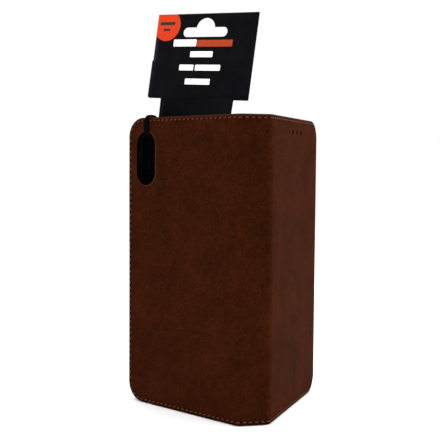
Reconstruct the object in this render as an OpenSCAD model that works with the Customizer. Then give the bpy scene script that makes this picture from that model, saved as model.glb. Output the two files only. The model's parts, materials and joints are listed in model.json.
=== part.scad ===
// Phone wallet case: a book style cover that stands open, with a phone tray,
// card pockets, a magnetic closing tab and a hang card tied to its top edge.
// Each cover is drawn in its own frame: the fold axis is the Z axis, X runs across the
// panel, -Y is the outer face and +Y is the inside. The fold axes lie at mid thickness.

/* [Case] */
// Height of the case
case_h = 149; // [120:1:180]
// Width of each cover, from its fold axis to its free edge
cover_w = 76; // [70:1:90]
// Distance between the two fold axes of the spine
spine_w = 15; // [14:0.5:20]
// Radius of the free corners
corner_r = 10; // [6:0.5:14]

/* [Pose] */
// Turn of the spine away from the back cover's plane
spine_turn = 53.6; // [20:1:80]
// Turn of the front cover away from the spine's plane
front_turn = 56.1; // [20:1:80]

/* [Panel layers] */
// Thickness of the outer leather
skin_t = 0.8; // [0.6:0.1:1]
// Thickness of the stiffening board
board_t = 0.7; // [0.5:0.1:0.9]
// Thickness of the lining
lining_t = 0.5; // [0.4:0.1:0.6]
// Width of the leather turned over each edge
turn_w = 0.8; // [0.6:0.1:1]
// Gap between a panel's edge and the fold axis
fold_gap = 1.3; // [1.3:0.1:2]

/* [Stitching] */
// Distance of the seam from the edge
seam_inset = 1.75; // [1.6:0.05:2.5]
// Width of the thread
thread_w = 0.6; // [0.4:0.1:0.8]
// Depth of the groove that the thread lies in
seam_depth = 0.3; // [0.2:0.05:0.35]

/* [Camera opening] */
// Distance of its centre from the free edge
camera_x = 13.34; // [12:0.5:20]
// Distance of its centre below the top edge
camera_drop = 21.06; // [20:0.5:30]
// Width of the opening
camera_w = 12.7; // [10:0.1:14]
// Height of the opening
camera_h = 26.6; // [20:0.1:30]
// Width of the rim around it
rim_w = 1.2; // [0.8:0.1:1.6]
// How far the rim stands out of the leather
rim_out = 0.4; // [0.2:0.1:0.6]

/* [Speaker slots] */
// Distance of the middle slot from the fold axis
slot_x = 38.6; // [30:0.2:45]
// Spacing of the slots
slot_pitch = 6.8; // [5:0.2:8]
// Distance of the slots below the top edge
slot_drop = 7.3; // [6:0.1:12]
// Width of a slot
slot_w = 2.0; // [1:0.1:3]
// Height of a slot
slot_h = 2.4; // [2:0.1:4]

/* [Phone tray] */
// Width of the phone
phone_w = 70.9; // [66:0.1:71]
// Height of the phone
phone_h = 143.6; // [130:0.1:144]
// Depth of the tray's cavity
cavity_d = 7.9; // [7:0.1:8]
// Play around the phone
phone_play = 0.2; // [0.1:0.1:0.4]
// Thickness of the tray's wall
tray_wall = 1.3; // [1:0.1:1.4]
// Thickness of the tray's floor
tray_floor = 1.0; // [0.8:0.1:1.2]
// Overhang and thickness of the tray's lip
tray_lip = 0.8; // [0.5:0.1:1]
// Thickness of the adhesive under the tray
tape_t = 0.2; // [0.1:0.1:0.3]

/* [Pockets] */
// Thickness of each pocket's leather
pocket_t = 0.5; // [0.4:0.05:0.55]
// Height of the cash pocket
cash_h = 109; // [95:1:112]
// Bottom and top of the card pockets
card_z = [16, 108]; // [10:1:120]
// Opening edge of the first card pocket
card_x = 18; // [14:1:22]
// Step from one card pocket to the next
card_step = 11; // [8:1:12]

/* [Closing tab] */
// Height of the tab, along the edge
tab_h = 24; // [18:1:30]
// Thickness of the tab
tab_t = 1.6; // [1.4:0.1:2]
// Length of the tab's magnet end
tip_len = 23; // [20:1:30]
// Fold of the tab's root inwards, where it stands
tab_fold = 90; // [60:1:90]
// Curl of the tab's end, where it stands
tip_curl = 20; // [0:1:40]
// Radius of the magnets
magnet_r = 6; // [4:0.5:7]

/* [Hang card] */
// Width of the card's head
head_w = 60.7; // [50:0.1:72]
// Height of the card's head
head_h = 44.2; // [35:0.1:50]
// Height of the crease above the head's lower edge
crease_h = 20.0; // [15:0.1:25]
// Thickness of the card
card_t = 0.4; // [0.3:0.05:0.5]
// Lean of the head over the inside of the case
head_lean = 8.0; // [0:0.1:12]
// Twist of the head about the vertical
head_twist = 10; // [0:0.1:12]
// Turn of the head in its own plane
card_turn = 3.4; // [0:0.1:4]

/* [Tie loop] */
// Width of the strap
strap_w = 3.2; // [2:0.1:4]
// Thickness of the strap
strap_t = 1.2; // [0.8:0.1:1.3]

/* [Hidden] */
$fn = 64;
eps = 0.05;

leather = [0.26, 0.13, 0.08];
leather_edge = [0.36, 0.2, 0.13];
suede = [0.3, 0.17, 0.11];
board_grey = [0.45, 0.42, 0.38];
thread_tan = [0.62, 0.42, 0.3];
tray_black = [0.05, 0.05, 0.055];
card_black = [0.06, 0.06, 0.065];
steel_grey = [0.6, 0.6, 0.62];
orange = [0.8, 0.21, 0.07];

// Panel levels, measured from mid thickness
panel_t = skin_t + board_t + lining_t;
level_out = -panel_t / 2;
level_board = level_out + skin_t;
level_lining = level_board + board_t;
level_in = level_lining + lining_t;
thread_t = seam_depth - eps;

// Phone tray
tray_base = level_in + tape_t;
tray_floor_top = tray_base + tray_floor;
tray_lip_base = tray_floor_top + cavity_d;
tray_front = tray_lip_base + tray_lip;
cavity_w = phone_w + 2 * phone_play;
cavity_h = phone_h + 2 * phone_play;
tray_w = cavity_w + 2 * tray_wall;
tray_h = cavity_h + 2 * tray_wall;
tray_edge = 0.3;
tray_mid = [-cover_w + tray_edge + tray_w / 2, case_h / 2];
tray_r = 9;
camera_mid = [-cover_w + camera_x, case_h - camera_drop];

// Tray windows: [centre, length] along the wall
window_d = 5.2;
window_y = tray_floor_top + cavity_d / 2;
port_windows = [[0, 14], [-19, 13], [19, 13]];
volume_window = [98, 32];
power_window = [100, 16];

// Closing tab: the bridge spans the closed case, the tip lies on the back's outer face
tab_gap = 1.1;
tip_clear = 0.5;
bridge_len = spine_w + panel_t / 2 + tip_clear + tab_t / 2;
tip_start = 1.0;
tip_r = 8;
tab_mid = case_h / 2;
tip_magnet_x = 13;
tab_level = tab_t / 2;

// How far a cut reaches each way from a panel's middle
cut_reach = 10;
// Room round the camera opening in the tray
tray_camera_gap = 0.4;

// Hang card
card_front = tray_front + 0.2;
card_mid_y = card_front + card_t / 2;
head_at = [-38.9, card_mid_y, 158.0];
neck_left = -22.2;
neck_right = 21.8;
tongue_left = -66.0;
tongue_right = -15.9;
neck_top_z = 149.6;
neck_bar_z = [0.2, 0.8];
neck_t = card_t - 0.1;
neck_len = 16;
insert_w = 71.4;
insert_z = [4, 146];
insert_r = 8;
head_corner = 1.6;
lower_step = 0.5;
euro_w = 26.7;
euro_lobe = 5;
euro_drop = 9.6;
euro_shift = -0.1;
dome_r = 5.7;
dome_rise = 4.8;
sticker_r = 8.1;
sticker_at = [6.5, 6.0];
ink_t = 0.05;
// Printed bars: [left, right, top, bottom], from the head's top left corner
white_bars = [
    [11.8, 25.9, 13.4, 17.0], [23.0, 36.6, 19.6, 22.6],
    [17.3, 26.0, 26.5, 29.5], [27.0, 42.1, 26.5, 29.5], [21.9, 37.0, 33.7, 36.7],
];
orange_bars = [[26.3, 47.5, 13.7, 17.2]];

// Tie loop: its route, in the back cover's frame
strap_mid = camera_mid[0] + 0.3;
loop_route = [
    [strap_mid, -2.0, 142.0], [strap_mid, -2.0, 146.5], [strap_mid - 0.3, -0.9, 149.9],
    [strap_mid - 1.8, 3.0, 150.0], [strap_mid - 4.5, 8.0, 149.6], [strap_mid - 5.6, 11.6, 149.2],
    [strap_mid - 5.5, 13.0, 146.6], [strap_mid - 3.4, 12.9, 141.5], [strap_mid - 1.0, 12.7, 137.2],
    [strap_mid, 11.4, 134.9], [strap_mid, 7.5, 134.6], [strap_mid, 2.5, 136.0],
    [strap_mid, -1.0, 138.6],
];
loop_rings = 4;
card_hole_r = 2.8;
card_hole = [strap_mid, 134.9];

// Where the row's origin lies: the middle of the whole object's box
front_angle = spine_turn + front_turn;
front_at = spine_w * [cos(spine_turn), sin(spine_turn)];
tab_root = cover_w + tab_gap;
box_x = [-cover_w, front_at[0] + panel_t / 2];
box_y = [-2.0 - strap_t / 2, front_at[1] + tab_root * sin(front_angle) + tab_t / 2];
origin = [(box_x[0] + box_x[1]) / 2, (box_y[0] + box_y[1]) / 2, 0];

// Frames
module back_frame() { translate(-origin) children(); }
module spine_frame() { back_frame() rotate(spine_turn) children(); }
module front_frame() {
    back_frame() translate([front_at[0], front_at[1], 0]) rotate(front_angle) children();
}
module bridge_frame() { front_frame() translate([tab_root, 0, 0]) rotate(tab_fold) children(); }
module tip_frame() { bridge_frame() translate([bridge_len, 0, 0]) rotate(tip_curl) children(); }
module head_frame() {
    back_frame() translate(head_at) rotate([0, 0, head_twist]) rotate([-head_lean, 0, 0])
        rotate([0, card_turn, 0]) children();
}
module card_frame() { back_frame() translate([0, card_mid_y, 0]) children(); }

// An upright slab between two levels, from a flat outline
module slab(y0, y1) {
    translate([0, y1, 0]) rotate([90, 0, 0]) linear_extrude(y1 - y0) children();
}

// A rectangle with its two right corners rounded
module right_round(x0, x1, z0, z1, r) {
    translate([x0, z0]) square([x1 - x0 - r, z1 - z0]);
    translate([x0, z0 + r]) square([x1 - x0, z1 - z0 - 2 * r]);
    for (z = [z0 + r, z1 - r]) translate([x1 - r, z]) circle(r);
}

module round_rect(w, h, r) {
    square([w - 2 * r, h], center = true);
    square([w, h - 2 * r], center = true);
    for (x = [-1, 1], z = [-1, 1]) translate([x * (w / 2 - r), z * (h / 2 - r)]) circle(r);
}

module pill(w, h) {
    square([w, h - w], center = true);
    for (z = [-1, 1]) translate([0, z * (h - w) / 2]) circle(w / 2);
}

// A cover's outline, drawn in from its edges by inset, and from the fold by fold_inset
module cover_outline(inset, fold_inset) {
    right_round(fold_gap + fold_inset, cover_w - inset, inset, case_h - inset, corner_r - inset);
}

// The seam's band: along the top, the free edge and the bottom
module cover_seam(width) {
    difference() {
        cover_outline(seam_inset - width / 2, 0);
        translate([-2, 0]) cover_outline(seam_inset + width / 2, 0);
        translate([cover_w - 2 * corner_r, seam_inset + width / 2])
            right_round(0, 2 * corner_r - seam_inset - width / 2, 0,
                case_h - 2 * seam_inset - width, corner_r - seam_inset - width / 2);
    }
}

groove_w = thread_w + 0.2;

// A cover's leather: a shallow dish that holds the board and the lining
module cover_skin() {
    difference() {
        slab(level_out, level_in) cover_outline(0, 0);
        slab(level_board, level_in + 1) cover_outline(turn_w, turn_w);
        slab(level_out - 1, level_out + seam_depth) cover_seam(groove_w);
    }
}
module cover_board() { slab(level_board, level_lining) cover_outline(turn_w, turn_w); }
module cover_lining() {
    difference() {
        slab(level_lining, level_in) cover_outline(turn_w, turn_w);
        slab(level_in - seam_depth, level_in + 1) cover_seam(groove_w);
    }
}
module cover_stitching() {
    slab(level_out + eps, level_out + seam_depth) cover_seam(thread_w);
    intersection() {
        slab(level_in - seam_depth, level_in - eps) cover_seam(thread_w);
        slab(level_lining, level_in) cover_outline(turn_w, turn_w);
    }
}

// Back cover
module to_back() { back_frame() mirror([1, 0, 0]) children(); }
module camera_cut(extra) {
    back_frame() translate([camera_mid[0], 0, camera_mid[1]])
        slab(-cut_reach, cut_reach) pill(camera_w + 2 * extra, camera_h + 2 * extra);
}
module magnet_disc(x, y0, y1) {
    translate([x, y1, tab_mid]) rotate([90, 0, 0]) cylinder(r = magnet_r, h = y1 - y0);
}
magnet_x = tip_magnet_x - tab_root;

module back_skin() {
    color(leather) difference() {
        to_back() cover_skin();
        camera_cut(rim_w);
    }
}
module back_board() {
    color(board_grey) difference() {
        to_back() cover_board();
        camera_cut(rim_w);
        back_frame() magnet_disc(magnet_x, level_board - 1, level_lining + 1);
    }
}
module back_lining() {
    color(suede) difference() {
        to_back() cover_lining();
        camera_cut(rim_w);
    }
}
module back_stitching() { color(thread_tan) to_back() cover_stitching(); }
module back_magnet() {
    color(steel_grey) back_frame() magnet_disc(magnet_x, level_board, level_lining);
}
module camera_rim() {
    color(leather_edge) back_frame() translate([camera_mid[0], 0, camera_mid[1]])
        slab(level_out - rim_out, level_in) difference() {
            pill(camera_w + 2 * rim_w, camera_h + 2 * rim_w);
            pill(camera_w, camera_h);
        }
}

// Phone tray
tape_margin = 3;
module tray_tape() {
    color("gainsboro") difference() {
        back_frame() translate([tray_mid[0], 0, tray_mid[1]]) slab(level_in, tray_base)
            round_rect(tray_w - 2 * tape_margin, tray_h - 2 * tape_margin, tray_r - tape_margin);
        camera_cut(rim_w);
    }
}
module phone_tray() {
    color(tray_black) difference() {
        back_frame() translate([tray_mid[0], 0, tray_mid[1]]) difference() {
            slab(tray_base, tray_front) round_rect(tray_w, tray_h, tray_r);
            slab(tray_floor_top, tray_lip_base)
                round_rect(cavity_w, cavity_h, tray_r - tray_wall);
            slab(tray_floor_top, tray_front + tray_wall)
                round_rect(cavity_w - 2 * tray_lip, cavity_h - 2 * tray_lip,
                    tray_r - tray_wall - tray_lip);
            for (w = port_windows)
                translate([w[0] - w[1] / 2, window_y - window_d / 2, -tray_h / 2 - 1])
                    cube([w[1], window_d, tray_wall + 2]);
        }
        camera_cut(tray_camera_gap);
        back_frame() translate([-cover_w - 1, window_y - window_d / 2,
            volume_window[0] - volume_window[1] / 2])
            cube([tray_edge + tray_wall + 2, window_d, volume_window[1]]);
        back_frame() translate([tray_mid[0] + tray_w / 2 - tray_wall - 1,
            window_y - window_d / 2, power_window[0] - power_window[1] / 2])
            cube([tray_wall + 2, window_d, power_window[1]]);
    }
}

// Spine: its plate ends in a round bead on each fold axis
module spine_plate() {
    linear_extrude(case_h) {
        translate([0, level_out]) square([spine_w, panel_t]);
        for (x = [0, spine_w]) translate([x, 0]) circle(panel_t / 2);
    }
}
bead_inset = 1.2;
module spine_layer(y0, y1) {
    translate([bead_inset, y0, turn_w])
        cube([spine_w - 2 * bead_inset, y1 - y0, case_h - 2 * turn_w]);
}
module spine_seam(width, y0, y1) {
    for (z = [seam_inset, case_h - seam_inset])
        translate([bead_inset, y0, z - width / 2])
            cube([spine_w - 2 * bead_inset, y1 - y0, width]);
}
module spine_skin() {
    color(leather) spine_frame() difference() {
        spine_plate();
        spine_layer(level_board, level_in + 1);
        spine_seam(groove_w, level_out - 1, level_out + seam_depth);
    }
}
module spine_board() { color(board_grey) spine_frame() spine_layer(level_board, level_lining); }
module spine_lining() {
    color(suede) spine_frame() difference() {
        spine_layer(level_lining, level_in);
        spine_seam(groove_w, level_in - seam_depth, level_in + 1);
    }
}
module spine_stitching() {
    color(thread_tan) spine_frame() {
        spine_seam(thread_w, level_out + eps, level_out + seam_depth);
        spine_seam(thread_w, level_in - seam_depth, level_in - eps);
    }
}

// Front cover
module speaker_cut() {
    front_frame() for (i = [-1, 0, 1])
        translate([slot_x + i * slot_pitch, 0, case_h - slot_drop]) slab(-cut_reach, cut_reach) pill(slot_w, slot_h);
}
module front_skin() {
    color(leather) difference() {
        front_frame() cover_skin();
        speaker_cut();
    }
}
module front_board() {
    color(board_grey) difference() {
        front_frame() cover_board();
        speaker_cut();
    }
}
module front_lining() {
    color(suede) difference() {
        front_frame() cover_lining();
        speaker_cut();
    }
}
module front_stitching() { color(thread_tan) front_frame() cover_stitching(); }

// Pockets, each one thickness further in
pocket_r = 6;
pocket_right = 72.5;
pocket_foot = 3;
module cash_pocket() {
    color(suede) front_frame() slab(level_in, level_in + pocket_t)
        right_round(4, pocket_right, pocket_foot, pocket_foot + cash_h, pocket_r);
}
function pocket_level(i) = level_in + i * pocket_t;
function pocket_edge(i) = card_x + (i - 1) * card_step;
module card_pocket(i) {
    color(suede) front_frame() slab(pocket_level(i), pocket_level(i + 1))
        right_round(pocket_edge(i), pocket_right, card_z[0], card_z[1], pocket_r / 2);
}
module pocket_stitching() {
    color(thread_tan) front_frame() for (i = [1, 2, 3]) {
        run_end = i < 3 ? pocket_edge(i + 1) : pocket_right - seam_inset;
        for (z = [card_z[0] + seam_inset, card_z[1] - seam_inset])
            translate([pocket_edge(i) + 1, pocket_level(i + 1), z - thread_w / 2])
                cube([run_end - pocket_edge(i) - 1, thread_t, thread_w]);
    }
}

// Closing tab
module tab_plate(x0, x1, inset, y0, y1) {
    translate([x0, y0, tab_mid - tab_h / 2 + inset]) cube([x1 - x0, y1 - y0, tab_h - 2 * inset]);
}
module bridge_skin() {
    color(leather) bridge_frame() difference() {
        translate([0, 0, tab_mid - tab_h / 2]) linear_extrude(tab_h) {
            translate([0, -tab_level]) square([bridge_len, tab_t]);
            for (x = [0, bridge_len]) translate([x, 0]) circle(tab_level);
        }
        tab_plate(bead_inset, bridge_len - bead_inset, turn_w, 0, tab_level + 1);
        bridge_seam(groove_w, -tab_level - 1, -tab_level + seam_depth);
    }
}
module bridge_seam(width, y0, y1) {
    for (z = [-1, 1])
        translate([bead_inset, y0, tab_mid + z * (tab_h / 2 - seam_inset) - width / 2])
            cube([bridge_len - 2 * bead_inset, y1 - y0, width]);
}
module bridge_lining() {
    color(suede) bridge_frame()
        tab_plate(bead_inset, bridge_len - bead_inset, turn_w, 0, tab_level);
}
module bridge_stitching() {
    color(thread_tan) bridge_frame()
        bridge_seam(thread_w, -tab_level + eps, -tab_level + seam_depth);
}
module tip_outline(inset) {
    right_round(tip_start + inset, tip_len - inset, tab_mid - tab_h / 2 + inset,
        tab_mid + tab_h / 2 - inset, tip_r - inset);
}
tip_layers = [-tab_level + 0.6, -tab_level + 1.1];
module tip_skin() {
    color(leather) tip_frame() difference() {
        slab(-tab_level, tab_level) tip_outline(0);
        slab(tip_layers[0], tab_level + 1) tip_outline(turn_w);
        slab(-tab_level - 1, -tab_level + seam_depth) tip_seam(groove_w);
    }
}
module tip_seam(width) {
    difference() {
        tip_outline(seam_inset - width / 2);
        tip_outline(seam_inset + width / 2);
    }
}
module tip_board() {
    color(board_grey) tip_frame() difference() {
        slab(tip_layers[0], tip_layers[1]) tip_outline(turn_w);
        magnet_disc(tip_magnet_x, -2, 2);
    }
}
module tip_lining() { color(suede) tip_frame() slab(tip_layers[1], tab_level) tip_outline(turn_w); }
module tip_magnet() {
    color(steel_grey) tip_frame() magnet_disc(tip_magnet_x, tip_layers[0], tip_layers[1]);
}
module tip_stitching() {
    color(thread_tan) tip_frame()
        slab(-tab_level + eps, -tab_level + seam_depth) tip_seam(thread_w);
}

// Hang card: a head, a twisted neck and a flat insert that covers the phone tray
module euro_slot() {
    translate([euro_shift, head_h - euro_drop]) {
        square([euro_w - euro_lobe, euro_lobe], center = true);
        for (x = [-1, 1]) translate([x * (euro_w - euro_lobe) / 2, 0]) circle(euro_lobe / 2);
        intersection() {
            translate([0, dome_rise - dome_r + euro_lobe / 2]) circle(dome_r);
            translate([-dome_r, -euro_lobe / 2]) square(2 * dome_r);
        }
    }
}
module head_outline() {
    difference() {
        union() {
            translate([-head_w / 2, crease_h]) square([head_w, head_h - crease_h]);
            translate([-head_w / 2 - lower_step + head_corner, 0])
                square([head_w + lower_step - head_corner, crease_h]);
            translate([-head_w / 2 - lower_step, head_corner])
                square([head_w, crease_h - head_corner]);
            translate([-head_w / 2 - lower_step + head_corner, head_corner]) circle(head_corner);
        }
        euro_slot();
    }
}
module neck_bar(x0, x1) {
    translate([x0, -neck_t / 2, neck_bar_z[0]]) cube([x1 - x0, neck_t, neck_bar_z[1] - neck_bar_z[0]]);
}
module hang_card() {
    color(card_black) {
        head_frame() slab(-card_t / 2, card_t / 2) head_outline();
        hull() {
            head_frame() neck_bar(neck_left, neck_right);
            card_frame() translate([0, 0, neck_top_z - neck_bar_z[0] - neck_bar_z[1]])
                neck_bar(tongue_left + card_t, tongue_right - card_t);
        }
        difference() {
            card_frame() union() {
                slab(-card_t / 2, card_t / 2)
                    translate([tongue_left, neck_top_z - neck_len])
                        square([tongue_right - tongue_left, neck_len]);
                translate([tray_mid[0], 0, (insert_z[0] + insert_z[1]) / 2])
                    slab(-card_t / 2, card_t / 2)
                        round_rect(insert_w, insert_z[1] - insert_z[0], insert_r);
            }
            back_frame() translate([card_hole[0], card_mid_y + card_t, card_hole[1]])
                rotate([90, 0, 0]) cylinder(r = card_hole_r, h = 2 * card_t);
        }
    }
}
module head_ink(t) { head_frame() slab(-card_t / 2 - t, -card_t / 2) children(); }
module bars(list) {
    for (b = list) translate([b[0] - head_w / 2, head_h - b[3]]) square([b[1] - b[0], b[3] - b[2]]);
}
module size_sticker() {
    color(orange) head_ink(2 * ink_t) intersection() {
        translate([sticker_at[0] - head_w / 2, head_h - sticker_at[1]]) circle(sticker_r);
        translate([-head_w / 2, 0]) square([head_w, head_h]);
    }
}
module print_white() { color("white") head_ink(ink_t) bars(white_bars); }
module print_orange() { color(orange) head_ink(ink_t) bars(orange_bars); }

// Tie loop: a closed flat strap swept along its route
function spline(a, b, c, d, t) = 0.5 * (2 * b + (c - a) * t + (2 * a - 5 * b + 4 * c - d) * t * t
    + (3 * b - a - 3 * c + d) * t * t * t);
route_n = len(loop_route);
function route_at(i) = loop_route[(i + route_n) % route_n];
loop_points = [for (i = [0:route_n - 1], k = [0:loop_rings - 1])
    spline(route_at(i - 1), route_at(i), route_at(i + 1), route_at(i + 2), k / loop_rings)];
loop_n = len(loop_points);
function unit(v) = v / norm(v);
strap_shape = [for (p = [[1, -0.5], [1, 0.5], [0.75, 1], [-0.75, 1], [-1, 0.5], [-1, -0.5],
    [-0.75, -1], [0.75, -1]]) [p[0] * strap_w / 2, p[1] * strap_t / 2]];
function loop_ring(i) =
    let (along = unit(loop_points[(i + 1) % loop_n] - loop_points[(i + loop_n - 1) % loop_n]),
        side = unit([1, 0, 0] - along[0] * along),
        up = cross(along, side))
    [for (p = strap_shape) loop_points[i] + p[0] * side + p[1] * up];
sides = len(strap_shape);
module tie_loop() {
    rings = [for (i = [0:loop_n - 1]) each loop_ring(i)];
    faces = [for (i = [0:loop_n - 1], k = [0:sides - 1])
        let (a = i * sides, b = ((i + 1) % loop_n) * sides, m = (k + 1) % sides)
        each [[a + k, a + m, b + m], [a + k, b + m, b + k]]];
    color("black") back_frame() polyhedron(points = rings, faces = faces, convexity = 4);
}

back_skin();
back_board();
back_lining();
back_stitching();
back_magnet();
camera_rim();
tray_tape();
phone_tray();
tie_loop();
spine_skin();
spine_board();
spine_lining();
spine_stitching();
front_skin();
front_board();
front_lining();
front_stitching();
cash_pocket();
card_pocket(1);  // card_pocket_1
card_pocket(2);  // card_pocket_2
card_pocket(3);  // card_pocket_3
pocket_stitching();
bridge_skin();
bridge_lining();
bridge_stitching();
tip_skin();
tip_board();
tip_lining();
tip_magnet();
tip_stitching();
hang_card();
size_sticker();
print_white();
print_orange();
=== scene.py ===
# %% [markdown]
# # A phone wallet case, standing open
# The case is a book of three stiff panels in one soft leather skin: a back cover, a spine
# and a front cover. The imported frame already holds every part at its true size, with the
# fold axes. Here the frame gets its looks: real turned edges, stitches, grain and cardboard.

# %% Load the frame
import json
import math

import bmesh
import bpy
from mathutils import Matrix, Vector, noise
from mathutils.geometry import delaunay_2d_cdt


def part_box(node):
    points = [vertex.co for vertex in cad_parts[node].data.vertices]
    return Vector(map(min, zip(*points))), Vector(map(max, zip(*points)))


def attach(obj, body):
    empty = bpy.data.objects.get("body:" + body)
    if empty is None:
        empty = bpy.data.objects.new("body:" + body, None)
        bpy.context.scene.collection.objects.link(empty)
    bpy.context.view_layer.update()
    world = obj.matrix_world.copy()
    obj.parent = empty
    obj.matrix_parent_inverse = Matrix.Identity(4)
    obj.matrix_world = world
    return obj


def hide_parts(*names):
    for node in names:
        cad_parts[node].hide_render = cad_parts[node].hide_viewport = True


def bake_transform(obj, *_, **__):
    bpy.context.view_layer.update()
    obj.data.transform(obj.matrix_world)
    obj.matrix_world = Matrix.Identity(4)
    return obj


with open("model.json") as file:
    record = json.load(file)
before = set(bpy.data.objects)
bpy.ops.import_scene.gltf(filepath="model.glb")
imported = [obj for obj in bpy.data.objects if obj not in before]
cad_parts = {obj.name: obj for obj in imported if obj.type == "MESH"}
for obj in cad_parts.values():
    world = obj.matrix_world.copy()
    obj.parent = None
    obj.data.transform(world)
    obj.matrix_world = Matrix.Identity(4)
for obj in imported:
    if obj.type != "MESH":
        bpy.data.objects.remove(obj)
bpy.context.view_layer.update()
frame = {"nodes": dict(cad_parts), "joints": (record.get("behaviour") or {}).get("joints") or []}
MM = 0.001

# %% [markdown]
# ## The camera
# The case is seen from its spine's side, a little above the middle of its height. A long
# lens from about 45 cm keeps the upright folds almost parallel. The camera's own axes are
# built from a heading, a small downward pitch and a trace of roll.

# %% Camera
CAMERA_AT = Vector((0.30612, -0.36408, 0.12362))
HEADING, PITCH, ROLL = (math.radians(a) for a in (41.5, 3.36, 0.42))
FOCAL_LENGTH = 73.3


def make_camera():
    """Puts the camera at its place, looking along its heading."""
    camera = bpy.data.objects.new("camera", bpy.data.cameras.new("camera"))
    camera.data.lens = FOCAL_LENGTH
    camera.data.sensor_width = 36
    turn = Matrix.Rotation(HEADING, 3, "Z") @ Matrix.Rotation(math.pi / 2 - PITCH, 3, "X")
    turn = turn @ Matrix.Rotation(ROLL, 3, "Z")
    camera.matrix_world = Matrix.Translation(CAMERA_AT) @ turn.to_4x4()
    bpy.context.scene.collection.objects.link(camera)
    bpy.context.scene.camera = camera
    return camera


print("camera at", tuple(round(v, 3) for v in make_camera().location))

# %% [markdown]
# ## The folds
# Leather is bent round each fold, so its surface is easiest to make flat and then wrap.
# A point of the flat pattern is (u, n, z): u runs across the covers, n is the height above
# the middle of the thickness, positive inwards, and z is up. The wrapping line is straight
# on each panel and turns on a small arc at each fold. Its places and angles come from the
# frame's joints, in millimetres.

# %% Wrapping a flat pattern round its folds
joints = {j["name"]: j for j in frame["joints"]}


def axis_of(name):
    """A fold axis's place in the plan, in millimetres."""
    return Vector(joints[name]["pos_m"][:2]) / MM


def turn_of(name):
    """How far a fold stands from flat, from the travel left before it is square."""
    return math.radians(90 - joints[name]["range_deg"][1])


FOLD_A, FOLD_B = axis_of("back_fold"), axis_of("front_fold")
TAB_A, TAB_B = axis_of("tab_fold"), axis_of("tip_fold")
SPINE_W = (FOLD_B - FOLD_A).length
SPINE_HEADING = turn_of("back_fold")
FRONT_HEADING = SPINE_HEADING + turn_of("front_fold")
TAB_HEADING = FRONT_HEADING + turn_of("tab_fold")
TIP_HEADING = TAB_HEADING + turn_of("tip_fold")
BRIDGE_LEN = (TAB_B - TAB_A).length


def along(heading):
    return Vector((math.cos(heading), math.sin(heading)))


def leftward(heading):
    return Vector((-math.sin(heading), math.cos(heading)))


def wrapper(corners, radius):
    """Returns place(u, n, z), which wraps a flat point round corners: (u, axis, before, after)."""

    def place(u, n, z):
        base_u, base, heading = corners[0][0], corners[0][1], corners[0][2]
        for corner_u, axis, before, after in corners:
            reach = radius * math.tan((after - before) / 2)
            if u > corner_u + reach:
                base_u, base, heading = corner_u, axis, after
            elif u > corner_u - reach:
                angle = (u - corner_u + reach) / (2 * reach) * (after - before)
                start = axis - reach * along(before)
                spot = start + radius * math.sin(angle) * along(before)
                spot += radius * (1 - math.cos(angle)) * leftward(before)
                spot += n * leftward(before + angle)
                return Vector((spot.x, spot.y, z)) * MM
        spot = base + (u - base_u) * along(heading) + n * leftward(heading)
        return Vector((spot.x, spot.y, z)) * MM

    return place


CASE_BEND = 2.6
TAB_BEND = 2.0
on_case = wrapper(
    [(0, FOLD_A, 0, SPINE_HEADING), (SPINE_W, FOLD_B, SPINE_HEADING, FRONT_HEADING)], CASE_BEND
)
on_tab = wrapper(
    [(0, TAB_A, FRONT_HEADING, TAB_HEADING), (BRIDGE_LEN, TAB_B, TAB_HEADING, TIP_HEADING)],
    TAB_BEND,
)
apart = 180 - math.degrees(FRONT_HEADING)
print(f"folds: spine {SPINE_W:.1f} mm wide, covers {apart:.1f} degrees apart")

# %% [markdown]
# ## Outlines
# Every leather part has the same kind of outline: straight on the side where it meets a
# fold or a pocket's mouth, with two round corners on its free side. A line that keeps one
# distance from that outline is a ring. Rings carry the turned edge, the seam's channel and
# the stitches, so one function gives a ring's point at any length along it.

# %% Rings set in from an outline
BASE = 1.75  # the seam's distance from the edge, and the ring that lengths are measured on


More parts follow.
